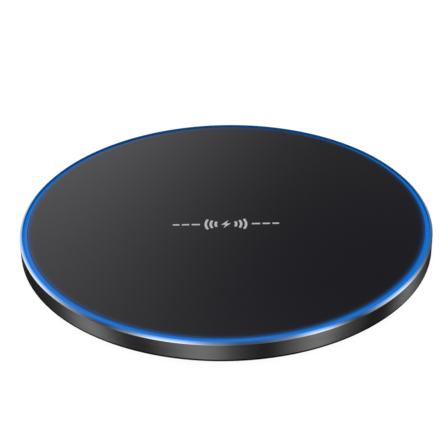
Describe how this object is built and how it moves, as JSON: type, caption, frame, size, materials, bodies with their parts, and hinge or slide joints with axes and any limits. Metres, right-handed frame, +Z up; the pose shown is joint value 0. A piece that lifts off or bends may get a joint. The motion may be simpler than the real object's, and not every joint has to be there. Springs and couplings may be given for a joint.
{
  "type": "wireless charging pad",
  "caption": "Slim round wireless charging pad with a black top panel, a glowing blue light ring, a dark metal rim with a polished chamfer and a USB inlet at the back.",
  "frame": {"origin": "centre of the resting plane under the foot ring", "axes": "+Z up through the middle of the panel, +Y towards the USB inlet, +X to the right when the inlet is at the back"},
  "size_m": [0.1, 0.1, 0.0062],
  "materials": {
    "anodised_rim": "dark anodised, brushed round the wall",
    "polished_chamfer": "bright diamond-cut",
    "panel_black": "smooth black, satin gloss",
    "panel_print": "light grey screen print",
    "light_ring": "translucent, lit blue from inside",
    "cover_black": "fine spark texture",
    "foot_silicone": "matte silicone",
    "tape_white": "double-sided tape",
    "steel_screw": "zinc-nickel plated",
    "ferrite_grey": "sintered ferrite",
    "copper_litz": "enamelled stranded copper",
    "foam_black": "fine open-cell foam",
    "board_green": "solder mask over glass fibre",
    "thermal_grey": "soft thermal pad",
    "plated_steel": "nickel plated",
    "connector_black": "moulded liquid-crystal polymer",
    "gold_contact": "gold plated",
    "led_white": "white reflector cup",
    "chip_black": "moulded epoxy with tinned leads",
    "ceramic_tan": "ceramic with tinned ends",
    "resistor_black": "thick film with tinned ends",
    "probe_glass": "resin-dipped bead with tinned leads"
  },
  "bodies": {
    "root": {"rim": "anodised_rim", "top_panel": "panel_black", "panel_adhesive": "tape_white", "light_guide": "light_ring", "base_cover": "cover_black", "foot_ring": "foot_silicone", "foot_adhesive": "tape_white", "cover_screws": "steel_screw", "ferrite_disc": "ferrite_grey", "ferrite_adhesive": "tape_white", "coil_adhesive": "tape_white", "charging_coil": "copper_litz", "coil_leads": "copper_litz", "coil_foam": "foam_black", "circuit_board": "board_green", "thermal_pad": "thermal_grey", "usb_shell": "plated_steel", "usb_insulator": "connector_black", "usb_contacts": "gold_contact", "side_leds": "led_white", "controller_chip": "chip_black", "bridge_transistors": "chip_black", "tuning_capacitors": "ceramic_tan", "filter_capacitors": "ceramic_tan", "chip_resistors": "resistor_black", "power_inductor": "ferrite_grey", "voltage_regulator": "chip_black", "thermistor": "probe_glass"}
  },
  "joints": []
}
